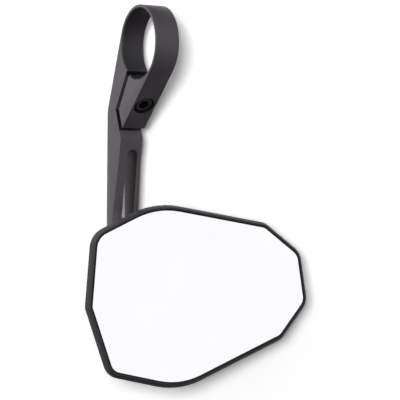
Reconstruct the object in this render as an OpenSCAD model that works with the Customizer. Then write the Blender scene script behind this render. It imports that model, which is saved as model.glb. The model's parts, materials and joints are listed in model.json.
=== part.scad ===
// Bar end mirror: a one-piece clamp and arm, a ball joint, and a nine-sided mirror head.
// The origin is the centre of the handlebar bore. X runs along the bar, -Y faces the rider and +Z is up.

/* [Handlebar clamp] */
// Diameter of the bore that grips the handlebar or bar end
bar_d = 36; // [34:0.5:38]
// Wall of the clamp ring
ring_wall = 1.9; // [1.6:0.1:3]
// Width of the clamp and of the arm, along the bar
arm_w = 13; // [12.4:0.1:18]
// Chamfer at both ends of the bore
bore_chamfer = 0.6; // [0.2:0.1:1]

/* [Strap, slit and screw] */
// Angle of the strap's flat outer face below the horizontal, facing the rider
strap_dip = 48.3; // [44:0.1:52]
// Width of the slit between the strap's ear and the arm
slit_w = 3.4; // [2:0.1:4]
// Lean of the slit's upper leg from the vertical
slit_lean = 33.7; // [30:0.5:37]
// Length from the bore's centre to the slit's bend
slit_bend = 39; // [37:0.5:42]
// How far the slit's wall on the ear lies from the bore's centre, away from the arm
slit_shift = 0.3; // [0:0.1:1]
// Lean of the slit's lower leg from the vertical, back towards the rider
mouth_lean = 20.8; // [16:0.5:26]
// Diameter of the clamp screw's thread
screw_d = 6; // [5:0.5:6]
// Diameter of the clamp screw's head
screw_head_d = 10; // [8.5:0.1:10.2]
// Height of the clamp screw's head
screw_head_h = 6; // [4:0.1:7]
// Chamfer round the clamp screw's head
head_chamfer = 0.7; // [0.3:0.1:0.9]
// Hexagon key size of the clamp screw
screw_key = 5; // [4:0.1:5.5]
// Depth of the clamp screw's head below the ear's face
head_sink = 0.7; // [0.2:0.1:1.2]
// Gap all round the clamp screw's head in its counterbore
head_gap = 0.5; // [0.3:0.1:0.6]
// Gap all round the clamp screw's shank in the ear
ear_gap = 0.3; // [0.2:0.05:0.5]
// Distance of the clamp screw along the strap from where the strap leaves the ring
screw_along = 24.9; // [23.5:0.1:26.5]
// Length of the clamp screw under its head
screw_len = 20; // [18:0.5:21]

/* [Arm] */
// Depth of the arm's back face behind the bore's centre, at its top
arm_back = 34.6; // [34:0.1:38]
// Extra depth of the back face at the arm's lower end
arm_back_run = 1; // [0:0.1:2]
// Radius of the bend in the back face
back_round = 15; // [8:1:20]
// Height of the arm's front corner below the bore's centre
corner_drop = 47.9; // [47:0.1:50]
// Height at which the front face starts to turn towards the mirror
turn_start = 59.5; // [57:0.5:64]
// Height at which the front face has turned fully
turn_end = 88.5; // [83:0.5:94]
// Depth of the front face behind the bore's centre where the turn starts
turn_front = 21.6; // [21.2:0.1:22.6]
// Depth of the mirror seat behind the bore's centre, at the arm's middle
seat_front = 26.8; // [25.8:0.1:27.6]
// Height of the ball stud's hole below the bore's centre
stud_drop = 122.5; // [117:0.5:128]
// Radius of the round end that holds the ball stud
eye_r = 9.5; // [8.8:0.1:11]
// Thickness of the round end
eye_t = 8.6; // [7.6:0.1:10]
// Depth of the washer's recess in the back of the round end
eye_recess = 3; // [2:0.1:4]
// Left side of the long slot through the arm, from the arm's middle
slot_left = 1.9; // [1.5:0.1:2.6]
// Right side of the long slot through the arm, from the arm's middle
slot_right = 4.1; // [3:0.1:4.4]
// Height of the slot's top below the bore's centre
slot_top = 53.5; // [52.5:0.5:58]
// Solid length of the arm between the slot's lower end and the middle of the ball stud's hole
slot_land = 15; // [13:0.5:25]

/* [Mirror head] */
// Turn of the mirror seat and of the head about the vertical, towards the rider
head_yaw = 18; // [10:1:24]
// Upward tilt of the head on its ball
head_pitch = 4; // [0:0.5:6]
// Width of the glass, between its outermost corner points
glass_wide = 112.2; // [106:0.1:120]
// Height of the glass, between its outermost corner points
glass_tall = 92.3; // [88:0.1:99]
// Thickness of the mirror glass
glass_t = 2; // [1.6:0.1:3]
// Polished bevel round the glass
glass_bevel = 0.4; // [0.2:0.1:0.6]
// Gap round the glass in the housing
glass_gap = 0.35; // [0.2:0.05:0.6]
// Width of the housing's lip round the glass
lip_w = 0.75; // [0.6:0.05:1.2]
// How far the lip stands proud of the glass
lip_proud = 0.4; // [0.2:0.1:1]
// Distance from the glass's edge to the housing's widest line
rim_w = 2.85; // [2:0.05:4]
// Depth of the housing's widest line behind the glass's front
rim_depth = 5.2; // [4:0.1:5.6]
// Height of the flat band along the widest line
rim_band = 0.8; // [0.4:0.1:1.2]
// Depth of the rounded back edge behind the band
back_roll = 1.6; // [1:0.1:2]
// Height of the raised middle of the back above the back edge
back_crown = 2.2; // [1.5:0.1:3]
// Thickness of the adhesive foam behind the glass
pad_t = 0.9; // [0.6:0.1:1.4]
// Distance of the foam's edge from the glass's edge
pad_inset = 4; // [3:0.5:8]
// Size of the raised middle of the back, as a share of the glass's outline
crown_share = 0.62; // [0.5:0.01:0.7]

/* [Ball joint] */
// Diameter of the ball
ball_d = 11; // [10:0.1:12]
// Distance from the arm's seat to the ball's centre
ball_reach = 11; // [10.6:0.1:12]
// Wall of the plastic liner round the ball
liner_t = 1; // [0.8:0.05:1.2]
// Running clearance on each side of the liner
run_gap = 0.05; // [0.02:0.01:0.08]
// Diameter of the neck behind the ball
neck_d = 4.8; // [4.4:0.1:5]
// Hexagon of the ball stud's flange, across its flats
flange_key = 10; // [9:0.1:11]
// Thickness of the ball stud's flange
flange_t = 2.1; // [1.8:0.1:2.4]
// Diameter of the ball stud's thread
stud_d = 6; // [5:0.5:6]
// Radius of the pressure cup
cup_r = 8.8; // [8.6:0.1:9.2]
// Thickness of the pressure cup over the ball's crown
cup_crown = 1; // [0.8:0.1:1.4]
// Room for the disc spring in front of the pressure cup
spring_h = 1.2; // [1:0.1:1.6]
// Diameter of the hole through the retainer plate
plate_hole_d = 4; // [3:0.5:6]
// Thickness of the disc spring's sheet
spring_t = 0.5; // [0.4:0.1:0.7]
// Radius of the retainer plate
plate_r = 15.2; // [15:0.1:15.6]
// Thickness of the retainer plate
plate_t = 1.4; // [1.2:0.1:2]
// Number of retainer screws
plate_screws = 4; // [3:1:6]
// Diameter of the retainer screws' thread
plate_screw_d = 2.5; // [2:0.1:2.6]
// Length of the retainer screws
plate_screw_len = 5; // [4:0.5:5.5]
// Outer radius of the housing's ball boss at its mouth
boss_r = 10; // [9.6:0.1:11]
// Radius at which the boss's cone meets the housing's back
boss_foot_r = 15.5; // [15:0.1:18]
// Chamfer round the boss's mouth
boss_round = 1; // [0.5:0.1:1.5]
// Height of the boss's mouth behind the ball's centre
boss_mouth = 4.3; // [4.1:0.1:4.5]

/* [Nut and washers] */
// Thickness of the plain washer
washer_t = 1.2; // [0.8:0.1:1.6]
// Radius of the plain washer
washer_r = 6; // [5.8:0.1:6.4]
// Gap all round the stud in both washers
washer_gap = 0.2; // [0.1:0.05:0.4]
// Height of the cone spring washer
cone_h = 1.2; // [0.8:0.1:1.6]
// Hexagon of the nut, across its flats
nut_key = 10; // [9:0.1:11]
// Height of the nut's hexagon
nut_h = 4; // [3:0.1:5]
// Height of the nut's plastic locking collar
collar_h = 1.6; // [1:0.1:2]
// Length of the stud that shows past the collar
stud_tail = 0.8; // [0.4:0.1:2]

/* [Hidden] */
$fn = 96;
fit = 0.05;            // radial clearance of a shank or thread in its hole
over = 1;              // how far a cut runs past a face
bore_r = bar_d / 2;
ring_r = bore_r + ring_wall;
blend = 0.03;          // a flat that meets an arc starts this far inside it, and the seat stands this far proud
half_w = arm_w / 2;

// Directions and points in the side view: x is depth behind the bore, y is height
arc_steps = 7;
function turned(a) = [cos(a), sin(a)];
function angle_of(v) = atan2(v[1], v[0]);
function way(p, q) = (q - p) / norm(q - p);
function round_off(p, q, s, r) =
    let (a = angle_of(way(p, q)), turn = (angle_of(way(q, s)) - a + 540) % 360 - 180, side = sign(turn))
    let (mid = q - way(p, q) * r * tan(abs(turn) / 2) + side * r * turned(a + 90))
    [for (k = [0 : arc_steps]) mid + r * turned(a - side * 90 + turn * k / arc_steps)];
function cross_at(p, d, q, e) = p + d * (((q - p)[0] * e[1] - (q - p)[1] * e[0]) / (d[0] * e[1] - d[1] * e[0]));
strap_out = turned(180 + strap_dip);                   // outward normal of the strap's flat face
strap_run = turned(strap_dip - 90);                    // along the strap, away from the ring
slit_run = turned(slit_lean - 90);                     // along the slit's upper leg, away from the bore
mouth_run = turned(-90 - mouth_lean);                  // along the slit's lower leg, towards its mouth
slit_side = [-slit_run[1], slit_run[0]];               // across the upper leg, towards the arm
mouth_side = [-mouth_run[1], mouth_run[0]];            // across the lower leg, towards the arm
strap_start = strap_out * (ring_r - blend);
ear_wall = -slit_side * slit_shift;                    // where the slit's two walls would meet the bore's middle
arm_wall = ear_wall + slit_side * slit_w;
ear_bend = ear_wall + slit_run * slit_bend;
ear_tip = cross_at(ear_bend, mouth_run, strap_start, strap_run);
arm_bend = cross_at(arm_wall, slit_run, ear_bend + mouth_side * slit_w, mouth_run);
arm_corner = cross_at(arm_bend, mouth_run, [0, -corner_drop], [1, 0]);
back_bend = [arm_back, -arm_back + 2];                 // where the back face turns towards the ring
back_turn = angle_of(-back_bend) - asin((ring_r - blend) / norm(back_bend));
back_touch = (ring_r - blend) * turned(back_turn - 90);
turn_back = arm_back + arm_back_run * (turn_start + back_bend[1]) / (turn_end + back_bend[1]);
low_back = arm_back + arm_back_run;
slot_end = stud_drop - slot_land;

// The clamp screw's own frame: its axis runs down into the ear, square to the strap's face
screw_at = strap_start + strap_run * screw_along;
screw_tilt = strap_dip + 90;
counterbore = screw_head_h + head_sink;
ear_depth = norm(cross_at(screw_at, -strap_out, ear_wall, slit_run) - screw_at);

// The mirror seat and the ball
seat_mid = [0, seat_front, -stud_drop];
seat_way = [-sin(head_yaw), -cos(head_yaw), 0];
ball_at = seat_mid + seat_way * ball_reach;
ball_r = ball_d / 2;
liner_in = ball_r + run_gap;
liner_out = liner_in + liner_t;
seat_r = liner_out + run_gap;
neck_r = neck_d / 2;
stud_r = stud_d / 2;

// Heights in the head, from the ball's centre towards the rider
cup_top = seat_r + cup_crown;
plate_low = cup_top + spring_h;
floor_h = plate_low + plate_t;
glass_low = floor_h + pad_t;
glass_top = glass_low + glass_t;
lip_top = glass_top + lip_proud;
rim_high = glass_top - rim_depth;
rim_low = rim_high - rim_band;
roll_low = rim_low - back_roll;
crown_low = roll_low - back_crown;
cup_low = 1.2;                                         // the cup stops this far in front of the ball's middle
plate_screw_ring = (cup_r + plate_r) / 2;

// Heights behind the ball, along the stud
seat_low = -ball_reach;
recess_low = seat_low - eye_t + eye_recess;
washer_low = recess_low - washer_t;
cone_high = washer_low - run_gap;                      // the cone washer turns with the stud, the plain one doesn't
cone_low = cone_high - cone_h;
nut_low = cone_low - nut_h;
collar_low = nut_low - collar_h;
stud_end = collar_low - stud_tail;

// The glass's nine corners, seen by the rider, anticlockwise from the upper left, and their radii
corner_marks = [[-18, 22.7], [-21.2, -13], [-10.8, -46], [24.3, -54], [77.7, -29], [91, -11.4],
                [88, 13], [70.5, 27.5], [13.4, 38.3]];
corner_r = [10, 34, 10, 37, 30, 13, 17, 21, 39];
function spread(axis) = max([for (c = corner_marks) c[axis]]) - min([for (c = corner_marks) c[axis]]);
stretch = [glass_wide / spread(0), glass_tall / spread(1)];
glass_corners = [for (c = corner_marks) [c[0] * stretch[0], c[1] * stretch[1]]];
corners = len(glass_corners);
function edge_out(i) = let (d = way(glass_corners[i % corners], glass_corners[(i + 1) % corners])) [d[1], -d[0]];
function grown_corner(i, grow) =
    let (a = edge_out(i + corners - 1), b = edge_out(i))
    glass_corners[i % corners] + (a + b) * grow / (1 + a * b);
function head_outline(grow) =
    [for (i = [0 : corners - 1])
        each round_off(grown_corner(i + corners - 1, grow), grown_corner(i, grow), grown_corner(i + 1, grow),
                       corner_r[i] + grow)];
crown_mid = [33, -7];                                  // middle of the raised part of the back

// Stands a side-view outline up and gives it a width along the bar, about the bore's middle
module side_solid(width) {
    rotate([90, 0, 90])
        linear_extrude(width, center = true)
            children();
}

// A frame at the ball: z points to the rider along the stud, x to the right and y up
module stud_frame() {
    translate(ball_at)
        rotate([90, 0, -head_yaw])
            children();
}

// The same frame, tilted up with the head
module head_frame() {
    translate(ball_at)
        rotate([90 - head_pitch, 0, -head_yaw])
            children();
}

// The clamp screw's frame: z points out of the ear
module screw_frame() {
    translate([0, screw_at[0], screw_at[1]])
        rotate([screw_tilt, 0, 0])
            children();
}

// A flat slab of the head's outline, from one height to another
module head_slab(low, high, grow) {
    translate([0, 0, low])
        linear_extrude(high - low)
            polygon(head_outline(grow));
}

// The side view of the ring, strap, ear and upper arm, before the bore and slit are cut
module clamp_outline() {
    circle(ring_r);
    ear_over = ear_tip + strap_run * slit_w / 2;
    arm_over = arm_corner - way(arm_corner, [turn_front, -turn_start]) * slit_w / 2;
    polygon([strap_start, ear_over, arm_over, [turn_front, -turn_start], [turn_back, -turn_start],
             each round_off([turn_back, -turn_start], back_bend, back_touch, back_round), back_touch, [0, 0]]);
}

// The slit, from the bore to past its mouth
module slit_outline() {
    past = mouth_run * 2 * corner_drop;
    polygon([ear_wall, ear_bend, ear_bend + past, arm_bend + past, arm_bend, arm_wall]);
}

// The lower arm: its front face turns evenly from square to the bar to square to the stud
module turning_arm() {
    steps = 8;
    seat_slope = tan(head_yaw);
    heights = [for (i = [0 : steps]) turn_start + (turn_end - turn_start) * i / steps];
    levels = concat(heights, [stud_drop]);
    share = [for (h = levels) min(1, (h - turn_start) / (turn_end - turn_start))];
    front = [for (t = share) turn_front + (seat_front + blend - turn_front) * t];
    back = [for (t = share) turn_back + (low_back - turn_back) * t];
    lean = [for (t = share) half_w * seat_slope * t];
    points = [for (i = [0 : len(levels) - 1])
        let (section = [[-half_w, front[i] + lean[i]], [half_w, front[i] - lean[i]],
                        [half_w, back[i]], [-half_w, back[i]]])
        for (p = section) [p[0], p[1], -levels[i]]];
    last = 4 * (len(levels) - 1);
    sides = [for (i = [0 : len(levels) - 2], k = [0 : 3])
        let (a = 4 * i + k, b = 4 * i + (k + 1) % 4)
        each [[a, b, b + 4], [a, b + 4, a + 4]]];
    top = [3, 2, 1, 0];
    bottom = [for (k = [0 : 3]) last + k];
    polyhedron(points, concat([top], sides, [bottom]), convexity = 4);
}

module clamp_arm() {
    color([0.2, 0.19, 0.2])
    difference() {
        union() {
            side_solid(arm_w)
                clamp_outline();
            turning_arm();
            stud_frame()
                translate([0, 0, seat_low - eye_t])
                    cylinder(h = eye_t, r = eye_r);
        }
        rotate([0, 90, 0])
            cylinder(h = arm_w + 2 * over, r = bore_r, center = true);
        for (side = [-1, 1])
            rotate([0, side * 90, 0])
                translate([0, 0, half_w - bore_chamfer])
                    cylinder(h = 2 * bore_chamfer, r1 = bore_r, r2 = bore_r + 2 * bore_chamfer);
        side_solid(arm_w + 2 * over)
            slit_outline();
        long_slot();
        screw_frame() {
            translate([0, 0, -counterbore])
                cylinder(h = counterbore + over, r = screw_head_d / 2 + head_gap);
            translate([0, 0, -ear_depth - slit_w / 2])
                cylinder(h = ear_depth, r = screw_d / 2 + ear_gap);
            translate([0, 0, -counterbore - screw_len - 1])
                cylinder(h = screw_len, r = screw_d / 2 + fit);
        }
        stud_frame() {
            translate([0, 0, seat_low - eye_t - over])
                cylinder(h = eye_t + 2 * over, r = stud_r + fit);
            translate([0, 0, seat_low - eye_t - 3 * over])
                cylinder(h = eye_recess + 3 * over, r = washer_r + 0.5);
        }
    }
}

// The long slot that splits the arm into two legs, round at both ends
module long_slot() {
    slot_r = (slot_left + slot_right) / 2;
    slot_mid = (slot_right - slot_left) / 2;
    translate([slot_mid, low_back + over, 0])
        rotate([90, 0, 0])
            linear_extrude(low_back + over) {
                translate([0, -slot_top - slot_r])
                    circle(slot_r);
                translate([0, -slot_end + slot_r])
                    circle(slot_r);
                translate([-slot_r, -slot_end + slot_r])
                    square([2 * slot_r, slot_end - slot_top - 2 * slot_r]);
            }
}

module clamp_screw() {
    color([0.1, 0.1, 0.11])
    screw_frame()
        difference() {
            union() {
                translate([0, 0, -counterbore])
                    cylinder(h = screw_head_h - head_chamfer, r = screw_head_d / 2);
                translate([0, 0, -counterbore + screw_head_h - head_chamfer])
                    cylinder(h = head_chamfer, r1 = screw_head_d / 2, r2 = screw_head_d / 2 - head_chamfer);
                translate([0, 0, -counterbore - screw_len])
                    cylinder(h = screw_len, r = screw_d / 2);
            }
            translate([0, 0, -counterbore + screw_head_h / 2])
                cylinder(h = screw_head_h, d = screw_key / cos(30), $fn = 6);
        }
}

module ball_stud() {
    color([0.75, 0.76, 0.78])
    stud_frame()
        difference() {
            union() {
                sphere(ball_r);
                translate([0, 0, seat_low + flange_t])
                    cylinder(h = -seat_low - flange_t, r = neck_r);
                translate([0, 0, seat_low + run_gap])
                    cylinder(h = flange_t - run_gap, d = flange_key / cos(30), $fn = 6);
                translate([0, 0, stud_end])
                    cylinder(h = seat_low + flange_t - stud_end, r = stud_r);
            }
            translate([0, 0, stud_end - over])
                cylinder(h = 3 + over, d = 3 / cos(30), $fn = 6);
        }
}

module stud_washer() {
    color([0.7, 0.71, 0.73])
    stud_frame()
        translate([0, 0, washer_low])
            difference() {
                cylinder(h = washer_t, r = washer_r);
                translate([0, 0, -over])
                    cylinder(h = washer_t + 2 * over, r = stud_r + washer_gap);
            }
}

// A shallow cone of spring sheet, its rim on one face and its hole's edge on the other
module cone_ring(low, high, hole_r, rim_r, sheet) {
    rotate_extrude()
        polygon([[hole_r, high - sheet], [rim_r, low], [rim_r, low + sheet], [hole_r, high]]);
}

module cone_washer() {
    color([0.35, 0.36, 0.38])
    stud_frame()
        cone_ring(cone_low, cone_high, stud_r + washer_gap, washer_r - 2 * washer_gap, cone_h / 2);
}

module stud_nut() {
    color([0.72, 0.73, 0.75])
    stud_frame()
        translate([0, 0, nut_low])
            difference() {
                intersection() {
                    cylinder(h = nut_h, d = nut_key / cos(30), $fn = 6);
                    cylinder(h = nut_h, r1 = nut_key / 2 + 0.1, r2 = nut_key / 2 + 0.1 + nut_h);
                    cylinder(h = nut_h, r1 = nut_key / 2 + 0.3 + nut_h, r2 = nut_key / 2 + 0.3);
                }
                translate([0, 0, -over])
                    cylinder(h = nut_h + 2 * over, r = stud_r + fit);
            }
}

module nut_collar() {
    color([0.15, 0.3, 0.6])
    stud_frame()
        translate([0, 0, collar_low])
            difference() {
                cylinder(h = collar_h, r = nut_key / 2 - 0.4);
                translate([0, 0, -over])
                    cylinder(h = collar_h + 2 * over, r = stud_r + fit);
            }
}

// A split spherical shell: it turns on the ball, and the head turns on it
module ball_liner() {
    liner_low = ball_r * 0.65;
    liner_high = ball_r * 0.78;
    color([0.9, 0.9, 0.86])
    stud_frame()
        difference() {
            intersection() {
                sphere(liner_out);
                translate([0, 0, -liner_low])
                    cylinder(h = liner_low + liner_high, r = liner_out + over);
            }
            sphere(liner_in);
            for (a = [0, 90])
                rotate([0, 0, a + 45])
                    translate([-liner_out - over, -0.4, -0.3 * ball_r])
                        cube([2 * (liner_out + over), 0.8, 2 * ball_r]);
        }
}

module pressure_cup() {
    color([0.13, 0.13, 0.14])
    head_frame()
        difference() {
            translate([0, 0, cup_low])
                cylinder(h = cup_top - cup_low, r = cup_r);
            sphere(seat_r);
            cylinder(h = cup_top + over, r = plate_hole_d / 2 - 0.5);
        }
}

module disc_spring() {
    color([0.3, 0.32, 0.36])
    head_frame()
        cone_ring(cup_top, plate_low, plate_hole_d / 2 + 0.4, cup_r - 0.8, spring_t);
}

// Places its children at each retainer screw
module at_plate_screws() {
    for (i = [0 : plate_screws - 1])
        rotate([0, 0, 45 + 360 * i / plate_screws])
            translate([plate_screw_ring, 0, floor_h])
                children();
}

// The countersunk form of a retainer screw, down from the plate's face
module plate_screw_form(gap) {
    head_r = plate_screw_d * 0.9;
    shank_r = plate_screw_d / 2;
    translate([0, 0, -plate_screw_len - gap])
        cylinder(h = plate_screw_len + gap, r = shank_r + gap, $fn = 24);
    translate([0, 0, -head_r + shank_r - gap])
        cylinder(h = head_r - shank_r + gap, r1 = shank_r, r2 = head_r + gap, $fn = 24);
}

module retainer_plate() {
    color([0.6, 0.61, 0.63])
    head_frame()
        difference() {
            translate([0, 0, plate_low])
                cylinder(h = plate_t, r = plate_r);
            translate([0, 0, plate_low - over])
                cylinder(h = plate_t + 2 * over, r = plate_hole_d / 2);
            at_plate_screws()
                plate_screw_form(fit);
        }
}

module retainer_screws() {
    color([0.25, 0.25, 0.27])
    head_frame()
        at_plate_screws()
            difference() {
                plate_screw_form(0);
                translate([0, 0, -0.7])
                    cylinder(h = 1, r = 0.8, $fn = 6);
            }
}

module housing() {
    color([0.17, 0.16, 0.17])
    head_frame()
        difference() {
            union() {
                hull() {
                    head_slab(lip_top - 0.05, lip_top, glass_gap + lip_w);
                    head_slab(rim_low, rim_high, rim_w);
                    head_slab(roll_low, roll_low + 0.05, rim_w - back_roll);
                    translate([crown_mid[0], crown_mid[1], crown_low])
                        linear_extrude(0.05)
                            scale(crown_share)
                                translate(-crown_mid)
                                    polygon(head_outline(0));
                }
                translate([0, 0, -boss_mouth + boss_round])
                    cylinder(h = rim_low + boss_mouth - boss_round, r1 = boss_r, r2 = boss_foot_r);
                translate([0, 0, -boss_mouth])
                    cylinder(h = boss_round, r1 = boss_r - boss_round, r2 = boss_r);
            }
            head_slab(floor_h, lip_top + over, glass_gap);
            translate([0, 0, plate_low])
                cylinder(h = plate_t + over, r = plate_r + 0.3);
            translate([0, 0, cup_low - 0.4])
                cylinder(h = plate_low - cup_low + 0.4 + over, r = cup_r + 0.1);
            sphere(seat_r);
            translate([0, 0, -boss_mouth - over])
                cylinder(h = over + 1, r1 = seat_r, r2 = sqrt(seat_r * seat_r - boss_mouth * boss_mouth) - 1);
            at_plate_screws()
                translate([0, 0, -plate_screw_len - 0.5])
                    cylinder(h = plate_screw_len + 0.5, r = plate_screw_d / 2 + fit, $fn = 24);
        }
}

module glass_pad() {
    color([0.08, 0.08, 0.08])
    head_frame()
        head_slab(floor_h, glass_low, -pad_inset);
}

module mirror_glass() {
    color([0.85, 0.88, 0.92])
    head_frame()
        hull() {
            head_slab(glass_low, glass_top - glass_bevel, 0);
            head_slab(glass_top - 0.02, glass_top, -glass_bevel);
        }
}

clamp_arm();
clamp_screw();
ball_stud();
stud_washer();
cone_washer();
stud_nut();
nut_collar();
ball_liner();
pressure_cup();
disc_spring();
retainer_plate();
retainer_screws();
housing();
glass_pad();
mirror_glass();
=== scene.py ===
import bpy
import bmesh
import json
import math
from mathutils import Matrix, Vector
from mathutils.bvhtree import BVHTree

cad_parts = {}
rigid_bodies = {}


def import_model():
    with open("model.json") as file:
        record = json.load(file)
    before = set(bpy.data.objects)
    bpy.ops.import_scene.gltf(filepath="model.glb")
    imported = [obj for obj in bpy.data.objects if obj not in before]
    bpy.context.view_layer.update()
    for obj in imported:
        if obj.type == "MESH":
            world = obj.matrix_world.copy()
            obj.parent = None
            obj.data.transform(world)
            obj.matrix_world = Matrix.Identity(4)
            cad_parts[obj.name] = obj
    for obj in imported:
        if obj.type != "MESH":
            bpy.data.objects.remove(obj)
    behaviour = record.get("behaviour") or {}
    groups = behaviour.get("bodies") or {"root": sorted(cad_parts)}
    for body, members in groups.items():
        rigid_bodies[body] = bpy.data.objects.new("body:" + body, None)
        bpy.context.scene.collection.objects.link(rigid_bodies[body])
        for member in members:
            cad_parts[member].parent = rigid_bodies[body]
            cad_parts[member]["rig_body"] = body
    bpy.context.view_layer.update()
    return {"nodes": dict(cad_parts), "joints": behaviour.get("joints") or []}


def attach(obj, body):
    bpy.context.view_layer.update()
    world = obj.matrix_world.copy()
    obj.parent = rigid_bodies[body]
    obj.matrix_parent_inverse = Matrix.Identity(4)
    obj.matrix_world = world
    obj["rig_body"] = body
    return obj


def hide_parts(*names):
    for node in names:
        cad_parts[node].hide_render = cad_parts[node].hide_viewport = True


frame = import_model()
nodes = frame["nodes"]
scene = bpy.context.scene
print("frame loaded:", len(nodes), "nodes")


# sRGB hex to the linear values that shader sockets take
def linear(hexCode):
    channels = [int(hexCode[i:i + 2], 16) / 255 for i in (1, 3, 5)]
    return [c / 12.92 if c <= 0.04045 else ((c + 0.055) / 1.055) ** 2.4 for c in channels] + [1.0]


# adds a node, sets its properties, and sets or links its inputs by name or number
def addNode(tree, kind, inputs=None, **settings):
    node = tree.nodes.new(kind)
    for name, value in settings.items():
        setattr(node, name, value)
    for name, value in (inputs or {}).items():
        socket = node.inputs[name]
        if isinstance(value, bpy.types.NodeSocket):
            tree.links.new(value, socket)
        else:
            socket.default_value = value
    return node


def newMaterial(name):
    material = bpy.data.materials.new(name)
    material.use_nodes = True
    material.node_tree.nodes.clear()
    return material, material.node_tree


# one metre holds 1000 / size repeats of a pattern that is size millimetres long
def perMetre(size):
    return 1000.0 / size


# a pattern's low parts in the look's dark tone and its high parts in the light one
def twoTones(tree, pattern, look, edge):
    share = addNode(tree, "ShaderNodeMapRange", {
        "Value": pattern, "From Min": edge, "From Max": 1.0 - edge})
    tones = addNode(tree, "ShaderNodeMix", {
        0: share.outputs[0], 6: linear(look["dark"]), 7: linear(look["light"])}, data_type="RGBA")
    return tones.outputs[2]


# How deep a full bump is, and how much of each pattern lies outside the change of tone
relief = {"metalMm": 0.02, "plasticMm": 0.03}
toneEdge = {"metal": 0.3, "plastic": 0.25, "glass": 0.2, "paper": 0.2}


# Aluminium that was blasted or milled and then anodised black: satin, with no sharp glints. The dyed oxide
# hides the metal, so it shines as a coat does. Its real grain, about 0.05 mm, is too fine to show, so it is
# drawn 0.12 to 0.2 mm wide, and it stirs gloss and relief alone
def anodisedAluminium(name, look):
    material, tree = newMaterial(name)
    place = addNode(tree, "ShaderNodeTexCoord").outputs["Object"]
    cloud = addNode(tree, "ShaderNodeTexNoise", {
        "Vector": place, "Scale": perMetre(look["cloudMm"]), "Detail": 3.0})
    grain = addNode(tree, "ShaderNodeTexNoise", {
        "Vector": place, "Scale": perMetre(look["grainMm"]), "Detail": 2.0})
    rough = addNode(tree, "ShaderNodeMapRange", {
        "Value": grain.outputs[0], "To Min": look["roughLow"], "To Max": look["roughHigh"]})
    bump = addNode(tree, "ShaderNodeBump", {
        "Strength": look["bump"], "Distance": relief["metalMm"] / 1000, "Height": grain.outputs[0]})
    shader = addNode(tree, "ShaderNodeBsdfPrincipled", {
        "Base Color": twoTones(tree, cloud.outputs[0], look, toneEdge["metal"]), "Metallic": 0.0,
        "Roughness": rough.outputs[0], "Specular IOR Level": look["specular"], "Normal": bump.outputs[0]})
    addNode(tree, "ShaderNodeOutputMaterial", {"Surface": shader.outputs[0]})
    return material


# Blasted outside of the arm, and the same on the housing, where the photo shows a darker and duller coat
armLook = {"dark": "#373237", "light": "#3D383D", "cloudMm": 30.0, "grainMm": 0.12, "roughLow": 0.42,
           "roughHigh": 0.54, "bump": 0.25, "specular": 0.5}
housingLook = {"dark": "#242225", "light": "#2A282B", "cloudMm": 40.0, "grainMm": 0.15, "roughLow": 0.46,
               "roughHigh": 0.58, "bump": 0.2, "specular": 0.14}
# Milled walls, smoother, darkened as painted shade: the bore, the narrow slit and counterbore, the long slot
boreShadeLook = {"dark": "#262327", "light": "#2B282C", "cloudMm": 12.0, "grainMm": 0.2, "roughLow": 0.36,
            "roughHigh": 0.46, "bump": 0.2, "specular": 0.3}
# Near black in the slit and counterbore, and on the ear's lip: painted shade
slitShadeLook = {"dark": "#0F0D0F", "light": "#131213", "cloudMm": 12.0, "grainMm": 0.2, "roughLow": 0.5,
            "roughHigh": 0.6, "bump": 0.2, "specular": 0.12}
slotShadeLook = {"dark": "#1F1A1C", "light": "#241F20", "cloudMm": 12.0, "grainMm": 0.2, "roughLow": 0.42,
            "roughHigh": 0.52, "bump": 0.2, "specular": 0.15}


# Turned or pressed steel, plated, blackened or phosphated: brighter and smoother than the aluminium, with
# faint marks of the tool in the relief and a coat that is a little uneven in tone and gloss
def turnedSteel(name, look):
    material, tree = newMaterial(name)
    place = addNode(tree, "ShaderNodeTexCoord").outputs["Object"]
    cloud = addNode(tree, "ShaderNodeTexNoise", {
        "Vector": place, "Scale": perMetre(look["cloudMm"]), "Detail": 4.0})
    marks = addNode(tree, "ShaderNodeTexNoise", {
        "Vector": place, "Scale": perMetre(look["markMm"]), "Detail": 1.0})
    rough = addNode(tree, "ShaderNodeMapRange", {
        "Value": cloud.outputs[0], "To Min": look["roughLow"], "To Max": look["roughHigh"]})
    bump = addNode(tree, "ShaderNodeBump", {
        "Strength": look["bump"], "Distance": relief["metalMm"] / 1000, "Height": marks.outputs[0]})
    shader = addNode(tree, "ShaderNodeBsdfPrincipled", {
        "Base Color": twoTones(tree, cloud.outputs[0], look, toneEdge["metal"]),
        "Metallic": look["metallic"], "Roughness": rough.outputs[0],
        "Specular IOR Level": look["specular"], "Normal": bump.outputs[0]})
    addNode(tree, "ShaderNodeOutputMaterial", {"Surface": shader.outputs[0]})
    return material


blackSteelLook = {"dark": "#272529", "light": "#2F2D31", "cloudMm": 4.0, "markMm": 0.3, "roughLow": 0.36,
                  "roughHigh": 0.5, "bump": 0.3, "metallic": 0.25, "specular": 0.3}
# The same coat deep in a socket and on the rim round a screw head's face: near black as painted shade, and
# matt
socketShadeLook = {"dark": "#030304", "light": "#060607", "cloudMm": 3.0, "markMm": 0.3, "roughLow": 0.7,
              "roughHigh": 0.85, "bump": 0.2, "metallic": 0.0, "specular": 0.03}
zincSteelLook = {"dark": "#9A9CA2", "light": "#B9BBC0", "cloudMm": 5.0, "markMm": 0.25, "roughLow": 0.22,
                 "roughHigh": 0.36, "bump": 0.25, "metallic": 1.0, "specular": 0.5}
springSteelLook = {"dark": "#4A4C52", "light": "#5E6066", "cloudMm": 4.0, "markMm": 0.3, "roughLow": 0.35,
                   "roughHigh": 0.5, "bump": 0.25, "metallic": 1.0, "specular": 0.5}


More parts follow.
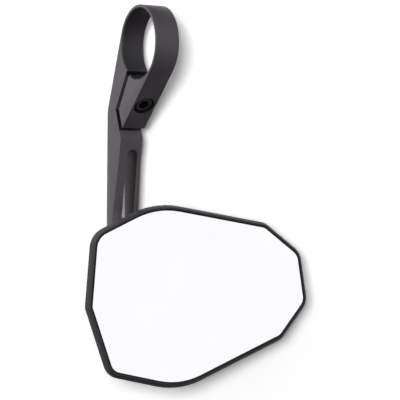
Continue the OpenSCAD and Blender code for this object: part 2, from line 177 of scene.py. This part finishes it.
# Moulded plastic or cut foam: one colour all through, with the mould's grain or the foam's pores as relief
def mouldedPlastic(name, look):
    material, tree = newMaterial(name)
    place = addNode(tree, "ShaderNodeTexCoord").outputs["Object"]
    grain = addNode(tree, "ShaderNodeTexNoise", {
        "Vector": place, "Scale": perMetre(look["grainMm"]), "Detail": 3.0})
    bump = addNode(tree, "ShaderNodeBump", {
        "Strength": look["bump"], "Distance": relief["plasticMm"] / 1000, "Height": grain.outputs[0]})
    shader = addNode(tree, "ShaderNodeBsdfPrincipled", {
        "Base Color": twoTones(tree, grain.outputs[0], look, toneEdge["plastic"]),
        "Roughness": look["rough"], "Normal": bump.outputs[0]})
    addNode(tree, "ShaderNodeOutputMaterial", {"Surface": shader.outputs[0]})
    return material


collarLook = {"dark": "#2A4E8C", "light": "#31589A", "grainMm": 0.6, "bump": 0.2, "rough": 0.45}
linerLook = {"dark": "#DCDCD4", "light": "#E8E8E2", "grainMm": 0.8, "bump": 0.15, "rough": 0.35}
cupLook = {"dark": "#1B1B1D", "light": "#232326", "grainMm": 0.5, "bump": 0.25, "rough": 0.5}
foamLook = {"dark": "#0F0F10", "light": "#1D1D1F", "grainMm": 0.4, "bump": 0.8, "rough": 0.9}


# Silvered flat glass: a clean mirror with the faintest haze from handling
def silveredGlass(name, look):
    material, tree = newMaterial(name)
    place = addNode(tree, "ShaderNodeTexCoord").outputs["Object"]
    haze = addNode(tree, "ShaderNodeTexNoise", {
        "Vector": place, "Scale": perMetre(look["hazeMm"]), "Detail": 3.0})
    rough = addNode(tree, "ShaderNodeMapRange", {
        "Value": haze.outputs[0], "To Min": look["roughLow"], "To Max": look["roughHigh"]})
    shader = addNode(tree, "ShaderNodeBsdfPrincipled", {
        "Base Color": twoTones(tree, haze.outputs[0], look, toneEdge["glass"]), "Metallic": 1.0,
        "Roughness": rough.outputs[0]})
    addNode(tree, "ShaderNodeOutputMaterial", {"Surface": shader.outputs[0]})
    return material


mirrorLook = {"dark": "#FAF9FC", "light": "#FDFCFF", "hazeMm": 25.0, "roughLow": 0.0, "roughHigh": 0.02}

materials = {
    "arm": anodisedAluminium("satinAnodisedArm", armLook),
    "housing": anodisedAluminium("satinAnodisedHousing", housingLook),
    # The bore, slit, slot and socket materials darken their hollows with painted shade
    "bore": anodisedAluminium("machinedCutPaintedShade", boreShadeLook),
    "slit": anodisedAluminium("narrowCutPaintedShade", slitShadeLook),
    "slot": anodisedAluminium("slotWallPaintedShade", slotShadeLook),
    "blackSteel": turnedSteel("blackOxideSteel", blackSteelLook),
    "socket": turnedSteel("socketPaintedShade", socketShadeLook),
    "zincSteel": turnedSteel("zincPlatedSteel", zincSteelLook),
    "springSteel": turnedSteel("phosphatedSpringSteel", springSteelLook),
    "collar": mouldedPlastic("blueNylon", collarLook),
    "liner": mouldedPlastic("whiteAcetal", linerLook),
    "cup": mouldedPlastic("blackNylon", cupLook),
    "foam": mouldedPlastic("adhesiveFoam", foamLook),
    "glass": silveredGlass("silveredGlass", mirrorLook),
}
print("materials made:", len(materials))

# How copies of CAD nodes are merged, flattened, bevelled and shaded
finishing = {"mergeMm": 0.002, "flatDeg": 0.6, "bevelFromDeg": 32.0, "bevelSteps": 3, "sharpDeg": 35.0,
             "smallSharpDeg": 30.0}


# the plain mesh that an object's modifiers make
def evaluatedMesh(piece):
    bpy.context.view_layer.update()
    return bpy.data.meshes.new_from_object(piece.evaluated_get(bpy.context.evaluated_depsgraph_get()))


# the piece rides on its CAD node's body and stands for that node
def standFor(piece, cadName):
    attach(piece, nodes[cadName]["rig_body"])
    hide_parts(cadName)


# a merged copy of a CAD node with softened edges
def refinedCopy(cadName, name, look, reshape=None):
    mesh = nodes[cadName].data.copy()
    mesh.name = name
    mesh.materials.clear()
    mesh.materials.append(materials[look["material"]])
    if reshape:
        reshape(mesh, headLook)
    piece = bpy.data.objects.new(name, mesh)
    scene.collection.objects.link(piece)
    work = bmesh.new()
    work.from_mesh(mesh)
    bmesh.ops.remove_doubles(work, verts=work.verts, dist=finishing["mergeMm"] / 1000)
    bmesh.ops.dissolve_limit(work, angle_limit=math.radians(finishing["flatDeg"]), verts=work.verts,
                             edges=work.edges)
    if look["splitMm"] is not None:
        bmesh.ops.bisect_plane(work, geom=work.verts[:] + work.edges[:] + work.faces[:],
                               plane_co=(0, 0, look["splitMm"] / 1000), plane_no=(0, 0, 1))
    for face in work.faces:
        face.smooth = True
    work.to_mesh(mesh)
    work.free()
    if look["bevelMm"]:
        bevel = piece.modifiers.new("softEdges", "BEVEL")
        bevel.width = look["bevelMm"] / 1000
        bevel.segments = finishing["bevelSteps"]
        bevel.limit_method = "ANGLE"
        bevel.angle_limit = math.radians(finishing["bevelFromDeg"])
        bevel.harden_normals = True
        bevel.use_clamp_overlap = True
        made = evaluatedMesh(piece)
        piece.modifiers.clear()
        piece.data = made
        made.name = name
        bpy.data.meshes.remove(mesh)
    piece.data.set_sharp_from_angle(angle=math.radians(finishing["sharpDeg"]))
    standFor(piece, cadName)
    return piece


# gives a CAD node that stays as it is its material and smooth shading
def dressNode(cadName, material):
    data = nodes[cadName].data
    data.materials.clear()
    data.materials.append(materials[material])
    data.set_sharp_from_angle(angle=math.radians(finishing["smallSharpDeg"]))
    for polygon in data.polygons:
        polygon.use_smooth = True


# Thread ridge: half its height and half its width as shares of the pitch, and how near a point of the CAD
# shank lies to the thread's radius
threadLook = {"deep": 0.55, "wide": 0.47, "nearMm": 0.03, "pointsATurn": 28}


# the ridge of a screw thread, one turn for each pitch
def threadTree():
    tree = bpy.data.node_groups.new("threadTurns", "GeometryNodeTree")
    kinds = {"Turns": "Float", "Length": "Float", "Root": "Float", "Depth": "Float", "Width": "Float",
             "Material": "Material"}
    for name, kind in kinds.items():
        tree.interface.new_socket(name=name, in_out="INPUT", socket_type="NodeSocket" + kind)
    tree.interface.new_socket(name="Geometry", in_out="OUTPUT", socket_type="NodeSocketGeometry")
    given = addNode(tree, "NodeGroupInput").outputs
    helix = addNode(tree, "GeometryNodeCurveSpiral", {
        "Resolution": threadLook["pointsATurn"], "Rotations": given["Turns"], "Start Radius": given["Root"],
        "End Radius": given["Root"], "Height": given["Length"]})
    level = addNode(tree, "GeometryNodeSetCurveNormal", {"Curve": helix.outputs[0]}, mode="Z_UP")
    diamond = addNode(tree, "GeometryNodeCurvePrimitiveCircle", {"Resolution": 4, "Radius": 1.0})
    size = addNode(tree, "ShaderNodeCombineXYZ", {0: given["Depth"], 1: given["Width"], 2: 1.0})
    ridge = addNode(tree, "GeometryNodeTransform", {
        "Geometry": diamond.outputs[0], "Scale": size.outputs[0]})
    turns = addNode(tree, "GeometryNodeCurveToMesh", {
        "Curve": level.outputs[0], "Profile Curve": ridge.outputs[0], "Fill Caps": True})
    dressed = addNode(tree, "GeometryNodeSetMaterial", {
        "Geometry": turns.outputs[0], "Material": given["Material"]})
    addNode(tree, "NodeGroupOutput", {"Geometry": dressed.outputs[0]})
    return tree


# the mesh that a node tree makes from its named inputs
def meshFromTree(name, tree, values):
    start = bpy.data.meshes.new(name + "Start")
    carrier = bpy.data.objects.new(name, start)
    scene.collection.objects.link(carrier)
    made = carrier.modifiers.new(name, "NODES")
    made.node_group = tree
    for item in tree.interface.items_tree:
        if item.in_out == "INPUT":
            made[item.identifier] = values[item.name]
    mesh = evaluatedMesh(carrier)
    carrier.modifiers.clear()
    bpy.data.objects.remove(carrier)
    bpy.data.meshes.remove(start)
    return mesh


# a CAD screw whose plain shank becomes a core with a real thread round it, along way from centre
def threadedCopy(cadName, name, look, centre, way):
    work = bmesh.new()
    work.from_mesh(nodes[cadName].data)
    bmesh.ops.remove_doubles(work, verts=work.verts, dist=finishing["mergeMm"] / 1000)
    crest = look["threadMm"] / 2000
    depth = look["pitchMm"] * threadLook["deep"] / 1000
    shank = []
    for vertex in work.verts:
        along = (vertex.co - centre).dot(way)
        out = vertex.co - centre - way * along
        onThread = abs(out.length - crest) < threadLook["nearMm"] / 1000
        if onThread and along < look["belowMm"] / 1000:
            vertex.co = centre + way * along + out.normalized() * (crest - depth)
            shank.append(along)
    length = max(shank) - min(shank)
    turns = meshFromTree(name + "Thread", threads, {
        "Turns": (length * 1000 - look["endMm"]) / look["pitchMm"], "Length": length - look["endMm"] / 1000,
        "Root": crest - depth, "Depth": depth, "Width": look["pitchMm"] * threadLook["wide"] / 1000,
        "Material": materials[look["material"]]})
    place = way.to_track_quat("Z", "Y").to_matrix().to_4x4()
    place.translation = centre + way * (min(shank) + look["endMm"] / 2000)
    turns.transform(place)
    work.from_mesh(turns)
    bpy.data.meshes.remove(turns)
    socketWay = way * look["socketEnd"]
    top = max((vertex.co - centre).dot(socketWay) for vertex in work.verts)
    # faces deep in the socket and outside faceMm take the second material, a painted shade
    for face in work.faces:
        middle = face.calc_center_median() - centre
        radius = (middle - way * middle.dot(way)).length
        deep = top - middle.dot(socketWay) < look["socketDeepMm"] / 1000
        inSocket = deep and radius < look["socketMm"] / 2000
        face.material_index = 1 if inSocket or radius > look["faceMm"] / 2000 else 0
        face.smooth = True
    mesh = bpy.data.meshes.new(name)
    work.to_mesh(mesh)
    work.free()
    mesh.materials.append(materials[look["material"]])
    mesh.materials.append(materials["socket"])
    mesh.set_sharp_from_angle(angle=math.radians(finishing["smallSharpDeg"]))
    piece = bpy.data.objects.new(name, mesh)
    scene.collection.objects.link(piece)
    standFor(piece, cadName)
    print(name, "threaded over", round(length * 1000, 1), "mm")


# Sizes are diameters; socketEnd says which end of the axis holds the socket, and what lies outside faceMm
# gets the socket's painted shade too
threads = threadTree()
clampScrewLook = {"material": "blackSteel", "threadMm": 6.0, "pitchMm": 1.0, "endMm": 1.0, "belowMm": 100.0,
                  "dipDeg": 48.3, "socketEnd": 1, "socketMm": 5.8, "socketDeepMm": 3.3, "faceMm": 8.9}
studLook = {"material": "zincSteel", "threadMm": 6.0, "pitchMm": 1.0, "endMm": 1.0, "belowMm": -10.0,
            "socketEnd": -1, "socketMm": 3.5, "socketDeepMm": 3.3, "faceMm": 20.0}
dip = math.radians(clampScrewLook["dipDeg"])
screwPoints = [vertex.co for vertex in nodes["clamp_screw"].data.vertices]
screwMiddle = sum(screwPoints, Vector()) / len(screwPoints)
threadedCopy("clamp_screw", "clampScrew", clampScrewLook, screwMiddle,
             Vector((0.0, -math.cos(dip), -math.sin(dip))))
spin = [joint for joint in frame["joints"] if joint["name"] == "head_spin"][0]
threadedCopy("ball_stud", "ballStud", studLook, Vector(spin["pos_m"]),
             Vector(spin["axis"]).normalized())

# The arm: within boreMm of the origin lies the bore, and a wall that faces another within acrossMm is a cut,
# narrow above splitMm and the slot below it. The ear's lip lies below lipLowMm and behind lipBackMm
armPiece = {"material": "arm", "bevelMm": 0.35, "splitMm": -43.4, "boreMm": 18.7, "acrossMm": 12.0,
            "startMm": 0.1, "sideways": 0.9, "lipLowMm": -15.0, "lipBackMm": 3.0}
armMesh = refinedCopy("clamp_arm", "clampArm", armPiece).data
armSlots = {"outside": 0, "bore": 1, "slit": 2, "slot": 3}
for cut in ("bore", "slit", "slot"):
    armMesh.materials.append(materials[cut])
armWalls = BVHTree.FromPolygons([vertex.co for vertex in armMesh.vertices],
                                [polygon.vertices[:] for polygon in armMesh.polygons])
# Each cut's darker material is painted shade: the bore and slot darker, the narrow cuts near black
for polygon in armMesh.polygons:
    centre = polygon.center * 1000
    start = polygon.center + polygon.normal * armPiece["startMm"] / 1000
    facing = armWalls.ray_cast(start, polygon.normal, armPiece["acrossMm"] / 1000)[0]
    sideFace = abs(polygon.normal.x) > armPiece["sideways"]
    inBore = math.hypot(centre.y, centre.z) < armPiece["boreMm"] and not sideFace
    # narrow walls reach down to splitMm, just under the ear's tip, where their near black is a painted
    # shadow line
    narrow = facing and centre.z > armPiece["splitMm"] and not inBore
    # the bore's lip on the ear, below the slit, also gets the near black as painted shade
    lip = inBore and centre.z < armPiece["lipLowMm"] and centre.y > armPiece["lipBackMm"]
    if narrow or lip:
        polygon.material_index = armSlots["slit"]
    elif inBore:
        polygon.material_index = armSlots["bore"]
    elif facing:
        polygon.material_index = armSlots["slot"]
print("arm finished")

# The head in its own frame: the glass's corners, their rounding in the CAD and the crisper one shown. inMm
# and outMm bound the band beside each arc whose points move
headLook = {"yawDeg": 18.0, "pitchDeg": 4.0, "inMm": 2.5, "outMm": 3.2, "overMrad": 0.5,
            "cornersMm": [(-18, 22.7), (-21.2, -13), (-10.8, -46), (24.3, -54), (77.7, -29), (91, -11.4),
                          (88, 13), (70.5, 27.5), (13.4, 38.3)],
            "roundMm": [10, 34, 10, 37, 30, 13, 17, 21, 39], "crispMm": [9, 3, 6, 34, 5, 7, 7, 5, 36]}
headFrame = (Matrix.Translation(Vector(spin["pos_m"]))
             @ Matrix.Rotation(math.radians(-headLook["yawDeg"]), 4, "Z")
             @ Matrix.Rotation(math.radians(90 - headLook["pitchDeg"]), 4, "X"))


# slides the points of each rounded corner onto a tighter arc between the same two edges
def crispCorners(mesh, look):
    toHead = headFrame.inverted()
    corners = [Vector(corner) / 1000 for corner in look["cornersMm"]]
    for i, corner in enumerate(corners):
        before = (corner - corners[i - 1]).normalized()
        after = (corners[(i + 1) % len(corners)] - corner).normalized()
        outs = [Vector((way.y, -way.x)) for way in (before, after)]
        bisector = (outs[0] + outs[1]) / (1 + outs[0].dot(outs[1]))
        radius = look["roundMm"][i] / 1000
        centre = corner - bisector * radius
        spread = outs[0].angle(outs[1]) / 2 + look["overMrad"] / 1000
        for vertex in mesh.vertices:
            place = toHead @ vertex.co
            spoke = place.xy - centre
            inBand = -look["inMm"] / 1000 < spoke.length - radius < look["outMm"] / 1000
            if inBand and spoke.angle(bisector) < spread:
                shift = (bisector - spoke.normalized()) * (radius - look["crispMm"][i] / 1000)
                vertex.co = headFrame @ (place + Vector((shift.x, shift.y, 0.0)))


housingPiece = {"material": "housing", "bevelMm": 0.3, "splitMm": None}
glassPiece = {"material": "glass", "bevelMm": 0.0, "splitMm": None}
refinedCopy("housing", "mirrorHousing", housingPiece, crispCorners)
refinedCopy("mirror_glass", "mirrorGlass", glassPiece, crispCorners)
innerPieces = {"stud_washer": "zincSteel", "cone_washer": "springSteel", "stud_nut": "zincSteel",
               "nut_collar": "collar", "ball_liner": "liner", "pressure_cup": "cup",
               "disc_spring": "springSteel", "retainer_plate": "zincSteel", "retainer_screws": "blackSteel",
               "glass_pad": "foam"}
for cadName, material in innerPieces.items():
    dressNode(cadName, material)
print("pieces dressed")

# Camera: the photograph's place, turn and lens
cameraLook = {"placeMm": (-362.0, -679.2, -79.9), "turnDeg": -30.0, "lensMm": 135.0, "sensorMm": 36.0,
              "nearMm": 50.0, "farMm": 20000.0}
turn = math.radians(cameraLook["turnDeg"])
viewWay = Vector((-math.sin(turn), math.cos(turn), 0.0))
right = Vector((math.cos(turn), math.sin(turn), 0.0))
upright = Vector((0.0, 0.0, 1.0))
cameraData = bpy.data.cameras.new("photoCamera")
cameraData.lens = cameraLook["lensMm"]
cameraData.sensor_width = cameraLook["sensorMm"]
cameraData.clip_start = cameraLook["nearMm"] / 1000
cameraData.clip_end = cameraLook["farMm"] / 1000
camera = bpy.data.objects.new("photoCamera", cameraData)
camera.location = Vector(cameraLook["placeMm"]) / 1000
camera.rotation_euler = (math.radians(90), 0, turn)
scene.collection.objects.link(camera)
scene.camera = camera

# Backdrop close behind the object, leaning towards the camera at its top, and a floor below. Both fade out
# between two distances from the origin. The lift adds to the paper's own colour, so that the lamps can
# stay low
paperLook = {"dark": "#F4F4F5", "light": "#F7F7F8", "lift": 0.4, "fibreMm": 6.0, "fadeFromMm": 420.0,
             "fadeToMm": 1250.0, "halfMm": 1600.0}
backdropLook = {"behindMm": 45.0, "atMm": -122.5, "leanDeg": 7.0}
floorLook = {"atMm": -320.0}


def flatPiece(name, corners, material):
    mesh = bpy.data.meshes.new(name)
    mesh.from_pydata([tuple(c) for c in corners], [], [(0, 1, 2, 3)])
    mesh.materials.append(material)
    piece = bpy.data.objects.new(name, mesh)
    scene.collection.objects.link(piece)


# White paper that only the camera sees, so that it sends no light back onto the object. One-sided paper is
# clear from behind
def studioPaper(name, look, oneSided):
    material, tree = newMaterial(name)
    place = addNode(tree, "ShaderNodeTexCoord").outputs["Object"]
    fibre = addNode(tree, "ShaderNodeTexNoise", {
        "Vector": place, "Scale": perMetre(look["fibreMm"]), "Detail": 4.0})
    colour = twoTones(tree, fibre.outputs[0], look, toneEdge["paper"])
    paper = addNode(tree, "ShaderNodeBsdfDiffuse", {"Color": colour})
    lift = addNode(tree, "ShaderNodeBsdfDiffuse", {"Color": [look["lift"]] * 3 + [1.0]})
    surface = addNode(tree, "ShaderNodeAddShader", {0: paper.outputs[0], 1: lift.outputs[0]})
    clear = addNode(tree, "ShaderNodeBsdfTransparent")
    away = addNode(tree, "ShaderNodeVectorMath", {0: place}, operation="LENGTH").outputs["Value"]
    near = addNode(tree, "ShaderNodeMapRange", {
        "Value": away, "From Min": look["fadeFromMm"] / 1000, "From Max": look["fadeToMm"] / 1000,
        "To Min": 1.0, "To Max": 0.0}, interpolation_type="SMOOTHSTEP")
    toCamera = addNode(tree, "ShaderNodeLightPath").outputs["Is Camera Ray"]
    seen = addNode(tree, "ShaderNodeMath", {0: toCamera, 1: near.outputs[0]}, operation="MULTIPLY")
    if oneSided:
        back = addNode(tree, "ShaderNodeNewGeometry").outputs["Backfacing"]
        seen = addNode(tree, "ShaderNodeMath", {0: seen.outputs[0], 1: back}, operation="SUBTRACT",
                       use_clamp=True)
    mixed = addNode(tree, "ShaderNodeMixShader", {
        0: seen.outputs[0], 1: clear.outputs[0], 2: surface.outputs[0]})
    addNode(tree, "ShaderNodeOutputMaterial", {"Surface": mixed.outputs[0]})
    return material


half = paperLook["halfMm"] / 1000
lean = math.radians(backdropLook["leanDeg"])
rise = upright * math.cos(lean) - viewWay * math.sin(lean)
middle = viewWay * backdropLook["behindMm"] / 1000 + upright * backdropLook["atMm"] / 1000
low = floorLook["atMm"] / 1000
lowEdge = middle + rise * (low - middle.z) / rise.z
topEdge = middle + rise * half
flatPiece("backdrop", [lowEdge - right * half, lowEdge + right * half, topEdge + right * half,
                       topEdge - right * half], studioPaper("backdropPaper", paperLook, True))
flatPiece("floor", [(-half, -half, low), (half, -half, low), (half, half, low), (-half, half, low)],
          studioPaper("floorPaper", paperLook, False))

# Strengths of the world by where a ray goes, as heights from -1 straight down to 1 straight up. Fill is for
# the soft light, with more from behind the object; shine is for mirrored rays, white but for the floor and
# the ceiling
worldLook = {"white": "#FFFFFF", "fillBelow": 0.0, "fillAbove": 0.5, "fillBehind": 0.9, "shineBelow": 0.08,
             "shine": 1.0, "shineAbove": 0.0, "floorFrom": -0.75, "floorTo": -0.15, "ceilingFrom": 0.6,
             "ceilingTo": 0.95, "seen": 1.0}
world = bpy.data.worlds.new("studioWorld")
world.use_nodes = True
tree = world.node_tree
tree.nodes.clear()
sky = addNode(tree, "ShaderNodeTexCoord").outputs["Generated"]
height = addNode(tree, "ShaderNodeSeparateXYZ", {0: sky}).outputs["Z"]
fill = addNode(tree, "ShaderNodeMapRange", {
    "Value": height, "From Min": -1.0, "From Max": 1.0, "To Min": worldLook["fillBelow"],
    "To Max": worldLook["fillAbove"]})
backward = addNode(tree, "ShaderNodeVectorMath", {0: sky, 1: viewWay}, operation="DOT_PRODUCT")
behind = addNode(tree, "ShaderNodeMapRange", {
    "Value": backward.outputs["Value"], "To Max": worldLook["fillBehind"]})
around = addNode(tree, "ShaderNodeMath", {0: fill.outputs[0], 1: behind.outputs[0]}, operation="ADD")
floorShine = addNode(tree, "ShaderNodeMapRange", {
    "Value": height, "From Min": worldLook["floorFrom"], "From Max": worldLook["floorTo"],
    "To Min": worldLook["shineBelow"], "To Max": worldLook["shine"]})
ceilingShine = addNode(tree, "ShaderNodeMapRange", {
    "Value": height, "From Min": worldLook["ceilingFrom"], "From Max": worldLook["ceilingTo"],
    "To Min": worldLook["shine"], "To Max": worldLook["shineAbove"]})
shine = addNode(tree, "ShaderNodeMath", {0: floorShine.outputs[0], 1: ceilingShine.outputs[0]},
                operation="MULTIPLY")
rays = addNode(tree, "ShaderNodeLightPath").outputs
mirrored = addNode(tree, "ShaderNodeMath", {0: rays["Is Glossy Ray"], 1: rays["Is Transmission Ray"]},
                   operation="MAXIMUM")
indirect = addNode(tree, "ShaderNodeMix", {
    0: mirrored.outputs[0], 2: around.outputs[0], 3: shine.outputs[0]})
strength = addNode(tree, "ShaderNodeMix", {
    0: rays["Is Camera Ray"], 2: indirect.outputs[0], 3: worldLook["seen"]})
light = addNode(tree, "ShaderNodeBackground", {
    "Color": linear(worldLook["white"]), "Strength": strength.outputs[0]})
addNode(tree, "ShaderNodeOutputWorld", {"Surface": light.outputs[0]})
scene.world = world


# a square lamp at the camera's height plus its own, turned to the object
def softbox(name, way, look):
    data = bpy.data.lights.new(name, "AREA")
    data.shape = "SQUARE"
    data.size = look["sizeMm"] / 1000
    data.energy = look["watts"]
    lamp = bpy.data.objects.new(name, data)
    way = way.normalized()
    lamp.location = way * look["awayMm"] / 1000 + upright * camera.location.z
    lamp.rotation_mode = "QUATERNION"
    lamp.rotation_quaternion = (-way).to_track_quat("-Z", "Y")
    scene.collection.objects.link(lamp)


# The key stands beside the camera, a little left and above; the side lamp lights the arm's outer face
keyLook = {"watts": 11.0, "awayMm": 1300.0, "sizeMm": 300.0, "left": 0.085, "up": 0.08}
sideLook = {"watts": 6.6, "awayMm": 900.0, "sizeMm": 400.0, "way": (-0.6, 0.35, 0.72)}
softbox("keySoftbox", -viewWay - right * keyLook["left"] + upright * keyLook["up"], keyLook)
softbox("sideSoftbox", Vector(sideLook["way"]), sideLook)
scene.view_settings.view_transform = "Standard"
print("stage and light set")
